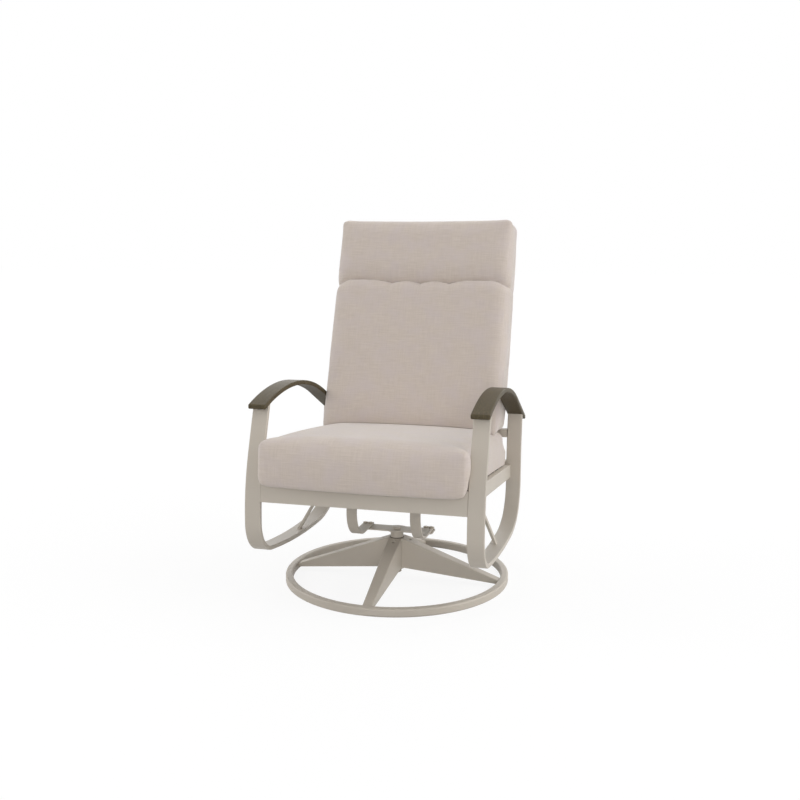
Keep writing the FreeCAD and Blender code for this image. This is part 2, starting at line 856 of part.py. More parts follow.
def outline(x0, x1, y0, y1, corner_r, bows, z):
    """Four bowed or straight sides, bows given for the low y, high x, high y and low x side."""
    low_y, high_x, high_y, low_x = bows
    diagonal = corner_r * (1 - math.sqrt(0.5))

    def side(p, q, middle, bow):
        if bow == 0:
            return Part.makeLine(p, q)
        return Part.Arc(p, middle, q).toShape()

    xm, ym = (x0 + x1) / 2, (y0 + y1) / 2
    r = corner_r
    edges = [
        side(V(x0 + r, y0, z), V(x1 - r, y0, z), V(xm, y0 - low_y, z), low_y),
        Part.Arc(V(x1 - r, y0, z), V(x1 - diagonal, y0 + diagonal, z), V(x1, y0 + r, z)).toShape(),
        side(V(x1, y0 + r, z), V(x1, y1 - r, z), V(x1 + high_x, ym, z), high_x),
        Part.Arc(V(x1, y1 - r, z), V(x1 - diagonal, y1 - diagonal, z), V(x1 - r, y1, z)).toShape(),
        side(V(x1 - r, y1, z), V(x0 + r, y1, z), V(xm, y1 + high_y, z), high_y),
        Part.Arc(V(x0 + r, y1, z), V(x0 + diagonal, y1 - diagonal, z), V(x0, y1 - r, z)).toShape(),
        side(V(x0, y1 - r, z), V(x0, y0 + r, z), V(x0 - low_x, ym, z), low_x),
        Part.Arc(V(x0, y0 + r, z), V(x0 + diagonal, y0 + diagonal, z), V(x0 + r, y0, z)).toShape()]
    return Part.Wire(edges)


def pillow_levels(edge, crown, narrowest, rim, foot):
    """Height, inset and way of bowing for each outline, from the foot's soft edge up to the crown."""
    rim_width, rim_height = rim
    foot_width, foot_height = foot
    levels = []
    for angle in (0, 30, 60, 90):
        levels.append((foot_height * (1 - math.cos(rad(angle))), foot_width * (1 - math.sin(rad(angle))),
                       -math.cos(rad(2 * angle))))
    for angle in (0, 18, 36, 54, 72, 90):
        levels.append((edge - rim_height * (1 - math.sin(rad(angle))), rim_width * (1 - math.cos(rad(angle))),
                       math.cos(rad(2 * angle))))
    for share in (0.25, 0.5, 0.75):
        levels.append((edge + crown_rise(crown, share), rim_width + share * (narrowest - rim_width), -1.0))
    return levels


def crown_rise(crown, share):
    """How high a cushion has risen, at this share of the way from its rim to its middle."""
    return crown * (1 - (1 - share) ** 2)


def pillow(half, y0, y1, edge, crown, rim, foot, free, tilt=0.0, foot_slope=0.0):
    """A cushion on z = 0. `free` says for each side if it may bulge, or else is a seam."""
    wires = []
    narrowest = min(half, (y1 - y0) / 2)
    for height, inset, swell in pillow_levels(edge, crown, narrowest, rim, foot):
        bow = swell * (cushion_bulge if swell > 0 else cushion_draw_in)
        bows = [bow if open_side else 0 for open_side in free]
        low = y0 + inset * (1 if free[0] else seam_roundness) - height * math.tan(rad(foot_slope))
        high = y1 - inset * (1 if free[2] else seam_roundness)
        r = max(cushion_corner_r - inset * corner_tightening, corner_r_least)
        wire = outline(-half + inset, half - inset, low, high, r, bows, height)
        wire.rotate(V(0, y0, height), V(1, 0, 0), -tilt * height / edge)
        wires.append(wire)
    return Part.makeLoft(wires, True, True)


def seat_cushion_half():
    return side_inner_x - cushion_side_gap - cushion_bulge


def seat_lip():
    """The cushion's front edge hangs down in front of the rail, along the rail's bend."""
    rail_top = front_rail_bottom + front_rail_height
    half = seat_cushion_half() - cushion_corner_r / 2
    ahead = -cushion_clearance
    lip = band(side_start, side_heading, side_steps, ahead - seat_lip_thick, ahead, -half, half)
    cushion_foot = rail_top_at_axis - seat_cushion_front * math.tan(rad(seat_slope))
    bottom, top = rail_top - seat_lip_drop, cushion_foot + seat_foot_height / 2
    lip = lip.common(box(-reach, reach, -reach, 0, bottom, top))
    low = lip.BoundBox.ZMin
    edges = [e for e in lip.Edges if e.BoundBox.ZMax < low + same_place]
    return lip.makeFillet(seat_lip_edge_r, edges)


def seat_cushion():
    slope = rad(seat_slope)
    rear = (rear_face_y - seat_cushion_rear_gap - (seat_cushion_edge + seat_cushion_crown) * math.sin(slope))
    shape = pillow(seat_cushion_half(), seat_cushion_front / math.cos(slope), rear / math.cos(slope),
                   seat_cushion_edge, seat_cushion_crown, (seat_edge_width, seat_edge_height),
                   (seat_foot_width, seat_foot_height), (True, True, True, True))
    shape.translate(V(0, 0, strap_thick + cushion_clearance))
    return placed(shape, seat_plane).fuse(seat_lip())


def back_cushion():
    """Its foot lies on the top of the seat cushion."""
    def up_the_back(z):
        return (z - back_origin.z) / math.cos(rad(back_lean))

    seat_normal = V(0, math.sin(rad(seat_slope)), math.cos(rad(seat_slope)))
    rim, lower_rim = (back_edge_width, back_edge_height), (back_foot_width, back_foot_height)
    share = (back_cushion_edge_low - seat_edge_width) / (seat_cushion_half() - seat_edge_width)
    seat_top = strap_thick + cushion_clearance + seat_cushion_edge + crown_rise(seat_cushion_crown, share)
    rear_corner = back_origin + back_out * (strap_thick + cushion_clearance)
    below = (rear_corner - V(0, 0, rail_top_at_axis)).dot(seat_normal)
    foot = (seat_top + cushion_clearance - below) / math.cos(rad(back_lean - seat_slope))
    seam, top = up_the_back(back_cushion_seam), up_the_back(back_cushion_top)
    half = arm_inner_x - cushion_side_gap - cushion_bulge
    body = pillow(half, foot, seam + seam_lap, back_cushion_edge_low, back_cushion_crown, rim, lower_rim,
                  (True, True, False, True), back_cushion_taper, back_lean - seat_slope)
    head_edge = back_cushion_edge_low - (seam - foot) * math.tan(rad(back_cushion_taper))
    head = pillow(half, seam, top, head_edge, back_cushion_crown, rim, lower_rim,
                  (False, True, True, True), back_cushion_taper)
    shape = body.fuse(head)
    for k in range(tuft_count):
        x = (k - (tuft_count - 1) / 2) * tuft_pitch
        ball = Part.makeSphere(tuft_ball_r, V(x, seam + seam_lap / 2, head_edge - tuft_depth + tuft_ball_r))
        shape = shape.cut(ball)
    shape.translate(V(0, 0, strap_thick + cushion_clearance))
    return placed(shape, back_plane)


def build_cushions():
    seat = seat_cushion()
    back = back_cushion()
    save("seat_cushion", seat)
    save("back_cushion", back)
    overlap = seat.common(back)
    print("cushions overlap by", round(overlap.Volume), "and lie", round(seat.distToShape(back)[0], 2), "apart")


os.makedirs("parts", exist_ok=True)
build_base()
build_swivel()
build_sides()
build_seat_frame()
build_back_frame()
build_cushions()
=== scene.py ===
"""The looks of an outdoor swivel rocking chair: its finishes, its two cushions and its leaf springs."""
import json
import math

import bmesh
import bpy
import numpy as np
from mathutils import Matrix, Vector
from mathutils.bvhtree import BVHTree


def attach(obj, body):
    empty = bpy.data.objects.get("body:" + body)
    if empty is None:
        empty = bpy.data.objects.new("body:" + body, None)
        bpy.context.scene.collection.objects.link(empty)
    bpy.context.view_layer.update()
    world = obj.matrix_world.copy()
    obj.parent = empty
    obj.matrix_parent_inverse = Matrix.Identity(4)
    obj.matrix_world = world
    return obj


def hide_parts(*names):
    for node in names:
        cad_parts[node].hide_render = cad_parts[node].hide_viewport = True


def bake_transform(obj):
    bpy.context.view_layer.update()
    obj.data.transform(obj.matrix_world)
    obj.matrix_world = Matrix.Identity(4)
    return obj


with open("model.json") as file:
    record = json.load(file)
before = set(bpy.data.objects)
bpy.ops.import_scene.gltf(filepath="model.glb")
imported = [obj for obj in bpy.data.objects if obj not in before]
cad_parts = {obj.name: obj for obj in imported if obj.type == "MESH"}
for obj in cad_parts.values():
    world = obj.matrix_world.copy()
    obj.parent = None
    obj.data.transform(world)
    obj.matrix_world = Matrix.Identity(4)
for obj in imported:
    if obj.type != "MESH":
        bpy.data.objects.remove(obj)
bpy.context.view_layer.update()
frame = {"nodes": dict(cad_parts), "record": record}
scene = bpy.context.scene

# The chair's own planes, in metres: the seat slopes down to the rear and the back leans
SEAT_SLOPE = math.radians(6.1)
SEAT_ORIGIN = Vector((0, 0, 0.330))
BACK_LEAN = math.radians(18.3)
BACK_ORIGIN = Vector((0, 0.2688, 0.4039))
STRAP_TOP = 0.0024
SIDE_FRAME_INNER = 0.281
ARM_INNER = 0.278
ARM_TOP = 0.600

seat_plane = Matrix.Translation(SEAT_ORIGIN) @ Matrix.Rotation(-SEAT_SLOPE, 4, "X")
back_plane = Matrix.Translation(BACK_ORIGIN) @ Matrix.Rotation(math.pi / 2 - BACK_LEAN, 4, "X")


# Colours and finishes

# a Mix node gives its sockets for numbers and for colours the same names, so their places are used
NUMBER_A, NUMBER_B, NUMBER_MIXED = 2, 3, 0
COLOUR_A, COLOUR_B, COLOUR_MIXED = 6, 7, 2


def colour(text):
    """A linear colour from an sRGB hex value."""
    parts = [int(text[i:i + 2], 16) / 255 for i in (0, 2, 4)]
    return tuple(p / 12.92 if p <= 0.04045 else ((p + 0.055) / 1.055) ** 2.4 for p in parts) + (1.0,)


def add(tree, kind, inputs=(), **settings):
    """A node with its settings, and its inputs given as values or as other nodes' outputs."""
    made = tree.nodes.new(kind)
    for key, value in settings.items():
        setattr(made, key, value)
    for name, value in dict(inputs).items():
        if isinstance(value, bpy.types.NodeSocket):
            tree.links.new(value, made.inputs[name])
        else:
            made.inputs[name].default_value = value
    return made


def start_material(name):
    material = bpy.data.materials.new(name)
    material.use_nodes = True
    tree = material.node_tree
    tree.nodes.clear()
    return material, tree


def finish_material(tree, base, roughness, normal, **values):
    inputs = {"Base Color": base, "Roughness": roughness, "Normal": normal}
    inputs.update({key.replace("_", " "): value for key, value in values.items()})
    shader = add(tree, "ShaderNodeBsdfPrincipled", inputs)
    add(tree, "ShaderNodeOutputMaterial", {"Surface": shader.outputs["BSDF"]})


def powder_coat(name, dark, light):
    """Baked powder coat on steel tube: a satin with a faint orange peel and a slow drift in tone."""
    material, tree = start_material(name)
    place = add(tree, "ShaderNodeTexCoord").outputs["Object"]
    # orange peel is about 1 mm across and is drawn at 2 mm so that it shows
    peel = add(tree, "ShaderNodeTexNoise", {"Vector": place, "Scale": 1 / 0.002, "Detail": 2.0})
    # the coat's thickness, and with it the tone, drifts over 160 mm
    drift = add(tree, "ShaderNodeTexNoise", {"Vector": place, "Scale": 1 / 0.16, "Detail": 3.0})
    tone = add(tree, "ShaderNodeMix", {"Factor": drift.outputs["Fac"], COLOUR_A: colour(dark),
                                       COLOUR_B: colour(light)}, data_type="RGBA")
    grit = add(tree, "ShaderNodeMapRange", {"Value": peel.outputs["Fac"], "To Min": 0.44, "To Max": 0.56})
    bump = add(tree, "ShaderNodeBump", {"Height": peel.outputs["Fac"], "Strength": 0.1, "Distance": 0.0003})
    finish_material(tree, tone.outputs[COLOUR_MIXED], grit.outputs["Result"], bump.outputs["Normal"])
    return material


def brushed_resin(name, dark, light):
    """Moulded arm rest with a fine grain along its length under a dull skin."""
    material, tree = start_material(name)
    place = add(tree, "ShaderNodeTexCoord").outputs["Object"]
    # grain lines are 1 mm apart and 60 mm long, and are drawn 2.2 mm apart so that they show
    along = add(tree, "ShaderNodeMapping", {"Vector": place, "Scale": (1 / 0.0022, 1 / 0.06, 1 / 0.012)})
    grain = add(tree, "ShaderNodeTexNoise", {"Vector": along.outputs["Vector"], "Scale": 1.0, "Detail": 4.0,
                                             "Roughness": 0.6})
    # specks in the resin are 4 mm across
    speck = add(tree, "ShaderNodeTexNoise", {"Vector": place, "Scale": 1 / 0.004, "Detail": 3.0})
    mixed = add(tree, "ShaderNodeMath", {0: grain.outputs["Fac"], 1: speck.outputs["Fac"]},
                operation="MULTIPLY")
    share = add(tree, "ShaderNodeMapRange", {"Value": mixed.outputs["Value"], "From Min": 0.12,
                                             "From Max": 0.4})
    tone = add(tree, "ShaderNodeMix", {"Factor": share.outputs["Result"], COLOUR_A: colour(dark),
                                       COLOUR_B: colour(light)}, data_type="RGBA")
    skin = add(tree, "ShaderNodeMapRange", {"Value": grain.outputs["Fac"], "To Min": 0.45, "To Max": 0.6})
    bump = add(tree, "ShaderNodeBump", {"Height": grain.outputs["Fac"], "Strength": 0.2, "Distance": 0.0005})
    finish_material(tree, tone.outputs[COLOUR_MIXED], skin.outputs["Result"], bump.outputs["Normal"],
                    Specular_IOR_Level=0.2)
    return material


def plated_steel(name, base, roughness):
    """Plated hardware: a metal with a cloudy sheen."""
    material, tree = start_material(name)
    place = add(tree, "ShaderNodeTexCoord").outputs["Object"]
    # the plating's clouds are 6 mm across
    cloud = add(tree, "ShaderNodeTexNoise", {"Vector": place, "Scale": 1 / 0.006, "Detail": 4.0})
    rough = add(tree, "ShaderNodeMapRange", {"Value": cloud.outputs["Fac"], "To Min": roughness - 0.08,
                                             "To Max": roughness + 0.12})
    bump = add(tree, "ShaderNodeBump", {"Height": cloud.outputs["Fac"], "Strength": 0.1, "Distance": 0.0003})
    finish_material(tree, colour(base), rough.outputs["Result"], bump.outputs["Normal"], Metallic=0.6)
    return material


def moulded_nylon(name, base):
    """Moulded bearing nylon: a soft satin with a fine spark-eroded grain."""
    material, tree = start_material(name)
    place = add(tree, "ShaderNodeTexCoord").outputs["Object"]
    # the grain is 0.3 mm and is drawn at 1 mm so that it shows
    grain = add(tree, "ShaderNodeTexNoise", {"Vector": place, "Scale": 1 / 0.001, "Detail": 2.0})
    bump = add(tree, "ShaderNodeBump", {"Height": grain.outputs["Fac"], "Strength": 0.15, "Distance": 0.0002})
    finish_material(tree, colour(base), 0.55, bump.outputs["Normal"])
    return material


def ribs(tree, place, pitch, direction, distortion):
    """Threads side by side, one to each pitch: a wave has one crest in 0.314 of its scale's unit."""
    return add(tree, "ShaderNodeTexWave", {"Vector": place, "Scale": 0.314 / pitch, "Distortion": distortion},
               bands_direction=direction).outputs["Fac"]


def elastic_webbing(name, dark, light):
    """Woven elastic webbing: a dull ribbed band, with ribs 3 mm apart one way and 4.5 mm the other."""
    material, tree = start_material(name)
    place = add(tree, "ShaderNodeTexCoord").outputs["Object"]
    across = ribs(tree, place, 0.003, "X", 0.4)
    along = ribs(tree, place, 0.0045, "Z", 0.2)
    mixed = add(tree, "ShaderNodeMath", {0: across, 1: along}, operation="MULTIPLY").outputs["Value"]
    tone = add(tree, "ShaderNodeMix", {"Factor": mixed, COLOUR_A: colour(dark), COLOUR_B: colour(light)},
               data_type="RGBA")
    bump = add(tree, "ShaderNodeBump", {"Height": mixed, "Strength": 0.5, "Distance": 0.0006})
    finish_material(tree, tone.outputs[COLOUR_MIXED], 0.85, bump.outputs["Normal"])
    return material


def acrylic_linen(name, shade, base, fleck):
    """Solution-dyed acrylic woven like linen: uneven slub threads both ways over a plain weave."""
    material, tree = start_material(name)
    place = add(tree, "ShaderNodeUVMap", uv_map="cloth").outputs["UV"]
    # slubs are about 0.6 mm thick and 20 mm long, and are drawn 3.5 mm by 50 mm so that they show
    slubs = []
    for scale in ((1 / 0.045, 1 / 0.0034, 1.0), (1 / 0.0036, 1 / 0.050, 1.0)):
        turned = add(tree, "ShaderNodeMapping", {"Vector": place, "Scale": scale})
        slub = add(tree, "ShaderNodeTexNoise", {"Vector": turned.outputs["Vector"], "Scale": 1.0,
                                                "Detail": 3.0, "Roughness": 0.55})
        slubs.append(add(tree, "ShaderNodeMapRange", {"Value": slub.outputs["Fac"], "From Min": 0.3,
                                                      "From Max": 0.7}).outputs["Result"])
    mixed = add(tree, "ShaderNodeMix", {"Factor": 0.4, NUMBER_A: slubs[0],
                                        NUMBER_B: slubs[1]}).outputs[NUMBER_MIXED]
    tone = add(tree, "ShaderNodeMix", {"Factor": mixed, COLOUR_A: colour(shade), COLOUR_B: colour(base)},
               data_type="RGBA")
    # the yarn's dye drifts over 60 mm
    drift = add(tree, "ShaderNodeTexNoise", {"Vector": place, "Scale": 1 / 0.06, "Detail": 3.0})
    warm = add(tree, "ShaderNodeMapRange", {"Value": drift.outputs["Fac"], "From Min": 0.42, "From Max": 0.66,
                                            "To Max": 0.45})
    cloth = add(tree, "ShaderNodeMix", {"Factor": warm.outputs["Result"],
                                        COLOUR_A: tone.outputs[COLOUR_MIXED], COLOUR_B: colour(fleck)},
                data_type="RGBA")
    # the plain weave has threads 0.8 mm apart
    knit = add(tree, "ShaderNodeMath", {0: ribs(tree, place, 0.0008, "X", 0.6),
                                        1: ribs(tree, place, 0.0008, "Y", 0.6)}, operation="MAXIMUM")
    woven = add(tree, "ShaderNodeMath", {0: knit.outputs["Value"], 1: mixed}, operation="ADD")
    # a side panel's seam is a groove of about 2 mm, drawn 4.4 mm wide so that it shows
    off = add(tree, "ShaderNodeAttribute", attribute_name="seam").outputs["Fac"]
    away = add(tree, "ShaderNodeMath", {0: off}, operation="ABSOLUTE").outputs["Value"]
    groove = add(tree, "ShaderNodeMapRange", {"Value": away, "From Max": 0.0022, "To Min": -3.0,
                                              "To Max": 0.0}, interpolation_type="SMOOTHSTEP")
    height = add(tree, "ShaderNodeMath", {0: woven.outputs["Value"], 1: groove.outputs["Result"]},
                 operation="ADD")
    bump = add(tree, "ShaderNodeBump", {"Height": height.outputs["Value"], "Strength": 0.25,
                                        "Distance": 0.0006})
    finish_material(tree, cloth.outputs[COLOUR_MIXED], 0.9, bump.outputs["Normal"], Sheen_Weight=0.4,
                    Sheen_Roughness=0.5)
    return material


taupe_coat = powder_coat("taupe_powder_coat", "B7AEA2", "C1B9AD")
bronze_resin = brushed_resin("dark_bronze_arm", "41392A", "5B513B")
dark_zinc = plated_steel("dark_zinc_steel", "A69D8E", 0.5)
alloy_rivet = plated_steel("alloy_rivet", "B9B9B7", 0.3)
grey_nylon = moulded_nylon("grey_nylon", "5B564C")
webbing = elastic_webbing("elastic_webbing", "34302A", "5A5449")
linen = acrylic_linen("oatmeal_linen", "C1B4A9", "D1C5BB", "C8BCBB")

finishes = {"frame_paint": taupe_coat, "arm_resin": bronze_resin, "steel": dark_zinc,
            "rivet_alloy": alloy_rivet, "dark_plastic": grey_nylon, "webbing": webbing,
            "cushion_cloth": linen}
slots = {part["node"]: part["material_slot"] for part in frame["record"]["subparts"]}
for node, body in frame["nodes"].items():
    body.data.materials.clear()
    body.data.materials.append(finishes[slots[node]])


# Making pieces

SAME_PLACE = 1e-5


def piece_from(bm, name, material, smooth=True):
    bmesh.ops.recalc_face_normals(bm, faces=bm.faces)
    mesh = bpy.data.meshes.new(name)
    bm.to_mesh(mesh)
    bm.free()
    mesh.materials.append(material)
    for face in mesh.polygons:
        face.use_smooth = smooth
    piece = bpy.data.objects.new(name, mesh)
    scene.collection.objects.link(piece)
    return piece


def apply_modifiers(piece):
    bpy.context.view_layer.update()
    made = bpy.data.meshes.new_from_object(piece.evaluated_get(bpy.context.evaluated_depsgraph_get()))
    piece.modifiers.clear()
    piece.data = made


def points_of(piece, which="co"):
    """Each point's place, or its normal."""
    values = np.zeros(len(piece.data.vertices) * 3)
    piece.data.vertices.foreach_get(which, values)
    return values.reshape(-1, 3)


def set_points(piece, points):
    piece.data.vertices.foreach_set("co", points.reshape(-1))
    piece.data.update()


def smooth_step(value, low, high):
    """0 up to low and 1 from high on, with a smooth rise between them."""
    share = np.clip((value - low) / (high - low), 0.0, 1.0)
    return share * share * (3 - 2 * share)


def dome(value, low, high, power=1.0):
    """1 halfway between low and high, and 0 at both; a power below 1 makes it flatter on top."""
    share = np.clip((value - low) / (high - low), 0.0, 1.0)
    return np.clip(4 * share * (1 - share), 0.0, 1.0) ** power


# Making padded covers

CORNER_STEPS = 8
EDGE_STEPS = 6
COVER_POINT_STEP = 0.0065
COVER_PRESSURE = 4.0
COVER_MOST_SWELL = 0.010
COVER_FRAMES = 6
NO_LENGTH = 1e-9
SIDES_FIRST = (1.2, 1.0, 1.2)
PANEL_APART = 3


def bevel(bm, edges, offset, segments):
    bmesh.ops.bevel(bm, geom=edges, offset=offset, offset_type="OFFSET", segments=segments, profile=0.5,
                    affect="EDGES", material=-1, clamp_overlap=True)


def block(half, y0, y1, height, corner_r, top_r, foot_r):
    """A foam core: a box with rounded corners in plan, and rounded top and foot edges."""
    bm = bmesh.new()
    bmesh.ops.create_cube(bm, size=1.0)
    bmesh.ops.scale(bm, vec=(2 * half, y1 - y0, height), verts=bm.verts)
    bmesh.ops.translate(bm, vec=(0, (y0 + y1) / 2, height / 2), verts=bm.verts)
    upright = [e for e in bm.edges if abs(e.verts[0].co.z - e.verts[1].co.z) > height / 2]
    bevel(bm, upright, corner_r, CORNER_STEPS)
    for level, radius in ((height, top_r), (0.0, foot_r)):
        rim = [e for e in bm.edges if all(abs(v.co.z - level) < SAME_PLACE for v in e.verts)]
        bevel(bm, rim, radius, EDGE_STEPS)
    return bm


def remesh(piece, size):
    voxels = piece.modifiers.new("voxels", "REMESH")
    voxels.mode = "VOXEL"
    voxels.voxel_size = size
    voxels.use_smooth_shade = True
    apply_modifiers(piece)


def inflate(piece, pressure, most, frames):
    """Blows the cover up round its foam for a few frames, with no point moving further than the most."""
    start = points_of(piece)
    cloth = piece.modifiers.new("cover", "CLOTH")
    cloth.settings.quality = 6
    cloth.settings.mass = 0.25
    cloth.settings.tension_stiffness = 18
    cloth.settings.compression_stiffness = 18
    cloth.settings.shear_stiffness = 8
    cloth.settings.bending_stiffness = 4
    cloth.settings.use_pressure = True
    cloth.settings.uniform_pressure_force = pressure
    cloth.settings.effector_weights.gravity = 0
    cloth.point_cache.frame_start = 1
    cloth.point_cache.frame_end = frames
    for step in range(1, frames + 1):
        scene.frame_set(step)
    apply_modifiers(piece)
    scene.frame_set(1)
    moved = points_of(piece) - start
    far = np.maximum(np.linalg.norm(moved, axis=1, keepdims=True), NO_LENGTH)
    set_points(piece, start + moved * np.minimum(most / far, 1.0))


def padded(name, core, wadding):
    """A filled cover: wadding laid on a foam core, then blown up, with points a few millimetres apart."""
    cushion = piece_from(core, name, linen)
    remesh(cushion, COVER_POINT_STEP)
    set_points(cushion, points_of(cushion) + points_of(cushion, "normal") * wadding)
    inflate(cushion, COVER_PRESSURE, COVER_MOST_SWELL, COVER_FRAMES)
    finer = cushion.modifiers.new("finer", "SUBSURF")
    finer.levels = 1
    finer.render_levels = 1
    apply_modifiers(cushion)
    return cushion


def mark_seam(piece, distance):
    """Keeps each point's distance from the side panel's seam, for the cloth to draw it."""
    layer = piece.data.attributes.new("seam", "FLOAT", "POINT")
    layer.data.foreach_set("value", distance.astype(np.float32))


def cloth_map(piece):
    """Lays the cloth on flat from the side that each face looks to, in metres."""
    mesh = piece.data
    normals = np.zeros(len(mesh.polygons) * 3)
    mesh.polygons.foreach_get("normal", normals)
    # a slanted face goes with the side panels or the top panel rather than with the front one
    sizes = np.abs(normals.reshape(-1, 3)) * SIDES_FIRST
    corners = np.zeros(len(mesh.polygons), dtype=np.int32)
    mesh.polygons.foreach_get("loop_total", corners)
    way = np.repeat(sizes.argmax(axis=1), corners)
    index = np.zeros(len(mesh.loops), dtype=np.int32)
    mesh.loops.foreach_get("vertex_index", index)
    x, y, z = points_of(piece)[index].T
    across = np.where(way == 0, y + PANEL_APART, np.where(way == 1, x + 2 * PANEL_APART, x))
    up = np.where(way == 2, y, z)
    layer = mesh.uv_layers.new(name="cloth")
    layer.data.foreach_set("uv", np.stack([across, up], axis=1).astype(np.float32).reshape(-1))


# Seat cushion, made flat on the seat's sloping plane and then set down on it

SEAT_FRONT = -0.374
SEAT_REAR = 0.248
SEAT_HALF = 0.268
SEAT_THICK = 0.088
SEAT_CORNER_R = 0.014
SEAT_TOP_R = 0.038
SEAT_FOOT_R = 0.012
SEAT_WADDING = 0.0052
SEAT_CROWN = 0.019
SEAT_CROWN_HALF = 0.290
SEAT_CROWN_FRONT = -0.41
SEAT_CROWN_REAR = 0.27
SEAT_DROOP = 0.031
SEAT_DROOP_HALF = 0.284
SEAT_SWELL = 0.045
RAIL_FACE = -0.3595
RAIL_TOP = -0.0015
UPRIGHT_FACE = -0.357
UPRIGHT_SLANT = 0.25
SEAM_OUT = 0.002
FOOT_LIFT = 0.002
CLOTH_GAP = 0.0006


def make_seat_cushion():
    core = block(SEAT_HALF, SEAT_FRONT, SEAT_REAR, SEAT_THICK, SEAT_CORNER_R, SEAT_TOP_R, SEAT_FOOT_R)
    cushion = padded("seat_cushion_cover", core, SEAT_WADDING)
    x, y, z = points_of(cushion).T
    upper = smooth_step(z, 0.02, SEAT_THICK)
    round_top = dome(y, SEAT_CROWN_FRONT, SEAT_CROWN_REAR, 0.45)
    z = z + upper * SEAT_CROWN * dome(x, -SEAT_CROWN_HALF, SEAT_CROWN_HALF, 0.42) * round_top
    # the foot is flat on the straps, and its front edge hangs down in front of the rail
    lower = 1 - smooth_step(z, 0.0, 0.055)
    z = np.maximum(z + STRAP_TOP + FOOT_LIFT, STRAP_TOP)
    past_rail = smooth_step(-y, -RAIL_FACE, -RAIL_FACE + 0.010)
    z = z - SEAT_DROOP * lower * past_rail * dome(x, -SEAT_DROOP_HALF, SEAT_DROOP_HALF, 0.2)
    z = np.where(y > RAIL_FACE, np.maximum(z, RAIL_TOP), z)
    # between the side frames the pad is held in, and its foot is pressed out against them
    low_edge = smooth_step(np.abs(x), 0.235, 0.262) * (1 - smooth_step(z, 0.040, 0.075))
    pressed = low_edge * smooth_step(y, -0.366, -0.34)
    x = x + np.sign(x) * pressed * np.maximum(SIDE_FRAME_INNER - 0.001 - np.abs(x), 0.0)
    x = np.clip(x, -SIDE_FRAME_INNER + CLOTH_GAP, SIDE_FRAME_INNER - CLOTH_GAP)
    # in front of the uprights it swells past them
    ahead = smooth_step(UPRIGHT_FACE + UPRIGHT_SLANT * z - y, 0.0, 0.014)
    x = x * (1 + SEAT_SWELL * ahead)
    set_points(cushion, np.stack([x, y, z], axis=1))
    mark_seam(cushion, np.abs(x) - (SEAT_HALF + SEAM_OUT))
    cloth_map(cushion)
    cushion.data.transform(seat_plane)
    return cushion


# Back cushion, made flat on the back's leaning plane: body and head parts with a sewn line between

BACK_FOOT = 0.012
BACK_SEAM = 0.440
BACK_TOP = 0.643
BACK_HALF = 0.2675
BACK_SHIFT = -0.0025
BACK_THICK = 0.136
BACK_CORNER_R = 0.008
BACK_FRONT_R = 0.038
BACK_REAR_R = 0.014
BACK_WADDING = 0.0066
FOOT_SLOPE = math.tan(BACK_LEAN - SEAT_SLOPE)
FOOT_TUCK = 0.012
BACK_TAPER = 0.13
BACK_BULGE = 0.004
TOP_SAG = 0.004
TOP_REAR_RISE = 0.007
CORNER_REACH = 0.04
CORNER_RISE = 0.0015
CORNER_REAR_RISE = 0.005
CORNER_OUT = 0.002
TUFTS = (-0.093, 0.0, 0.091)
TUFT_HALF = 0.026
TUFT_DEPTH = 0.008
SEAM_HALF = 0.285
SEAM_RISES = (0.012, 0.007, 0.007, 0.012)
SEAM_END_FALL = 0.006
SEAM_DEPTH = 0.023
SEAM_NIP = 0.006
SEAM_NIP_REACH = 0.030
BODY_ROLL = 0.034
HEAD_ROLL = 0.070
ARM_GAP = 0.0005
ROOM_ABOVE_ARMS = 0.010
FOOT_BELOW = 0.5
ABOVE_SEAT = 0.8


def seam_height(x):
    """The sewn line between body and head rises between the tufts."""
    stops = (-SEAM_HALF,) + TUFTS + (SEAM_HALF,)
    height = np.full_like(x, BACK_SEAM)
    for low, high, rise in zip(stops, stops[1:], SEAM_RISES):
        height = height + np.where((x >= low) & (x <= high), rise * dome(x, low, high, 0.7), 0.0)
    return height - SEAM_END_FALL * smooth_step(np.abs(x), 0.23, 0.275)


def crease(distance, width):
    """How far a rounded roll falls back towards the line it is sewn down on, from 0 to 1."""
    share = 1 - np.minimum(np.abs(distance) / width, 1.0)
    return 1 - np.sqrt(np.maximum(1 - share * share, 0.0))


